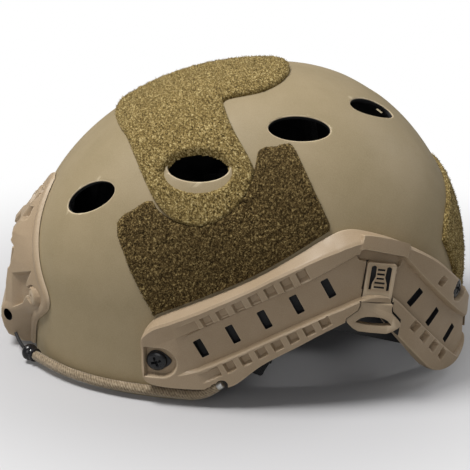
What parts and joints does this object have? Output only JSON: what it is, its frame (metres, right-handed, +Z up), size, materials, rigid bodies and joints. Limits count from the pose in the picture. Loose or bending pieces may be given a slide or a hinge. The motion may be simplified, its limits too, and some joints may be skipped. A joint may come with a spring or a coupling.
{
  "type": "combat helmet",
  "caption": "High-cut helmet with a vented shell, side accessory rails, front mounting shroud, loop-pile patches, elastic brim cord and a dial-adjusted inner fit band.",
  "frame": {"origin": "middle of the length and width at the level of the rim", "axes": "+Z up, -Y to the front, +X to the wearer's left"},
  "size_m": [0.22, 0.2858, 0.1731],
  "materials": {
    "shell_plastic": "fine-textured matte plastic",
    "fitting_plastic": "moulded plastic with a light sheen",
    "black_steel": "black oxide",
    "tan_steel": "painted to match the fittings",
    "plain_steel": "plated",
    "loop_pile": "woven loop pile",
    "cord": "woven sheath over rubber",
    "black_cord": "woven sheath",
    "foam_cover": "brushed cover over foam",
    "webbing": "flat woven webbing",
    "acetal": "unpainted gear plastic",
    "black_plastic": "moulded plastic"
  },
  "bodies": {
    "shell": {"shell": "shell_plastic", "left_rail": "fitting_plastic", "right_rail": "fitting_plastic", "rail_screws": "black_steel", "rail_nuts": "plain_steel", "shroud": "fitting_plastic", "shroud_screws": "tan_steel", "shroud_nuts": "plain_steel", "top_patch": "loop_pile", "left_side_patch": "loop_pile", "right_side_patch": "loop_pile", "rear_patch": "loop_pile", "left_brim_cord": "cord", "right_brim_cord": "cord", "left_cord_hook": "black_plastic", "right_cord_hook": "black_plastic", "hook_lanyards": "black_cord", "cord_ferrules": "plain_steel", "crown_pad": "foam_cover", "front_pad": "foam_cover", "rear_pad": "foam_cover", "left_temple_pad": "foam_cover", "right_temple_pad": "foam_cover", "left_side_pad": "foam_cover", "right_side_pad": "foam_cover", "dial_housing": "black_plastic", "dial_cover": "black_plastic", "housing_screws": "plain_steel", "nape_pad": "foam_cover", "nape_hanger": "black_plastic", "left_front_strap": "webbing", "right_front_strap": "webbing", "left_rear_strap": "webbing", "right_rear_strap": "webbing", "left_slider": "black_plastic", "right_slider": "black_plastic", "left_chin_strap": "webbing", "right_chin_strap": "webbing", "buckle_socket": "black_plastic", "buckle_plug": "black_plastic"},
    "dial": {"dial_knob": "black_plastic", "dial_pinion": "acetal"},
    "left_band": {"left_band_arm": "black_plastic"},
    "right_band": {"right_band_arm": "black_plastic"},
    "left_clip": {"left_strap_clip": "fitting_plastic"},
    "right_clip": {"right_strap_clip": "fitting_plastic"}
  },
  "joints": [
    {"name": "dial_turn", "type": "hinge", "parent": "shell", "child": "dial", "pos_m": [0, 0.11545, 0.022], "axis": [0, -1, 0], "range_deg": [0, 107]},
    {"name": "left_band_slide", "type": "slide", "parent": "shell", "child": "left_band", "axis": [-1, 0, 0], "range_m": [0, 0.015]},
    {"name": "right_band_slide", "type": "slide", "parent": "shell", "child": "right_band", "axis": [1, 0, 0], "range_m": [0, 0.015]},
    {"name": "left_clip_slide", "type": "slide", "parent": "shell", "child": "left_clip", "axis": [0.0872, -0.1386, -0.9865], "range_m": [0, 0.018]},
    {"name": "right_clip_slide", "type": "slide", "parent": "shell", "child": "right_clip", "axis": [-0.0872, -0.1386, -0.9865], "range_m": [0, 0.018]}
  ],
  "couplings": [
    {"joint": "left_band_slide", "follows": "dial_turn", "m_per_rad": 0.008},
    {"joint": "right_band_slide", "follows": "dial_turn", "m_per_rad": 0.008}
  ]
}
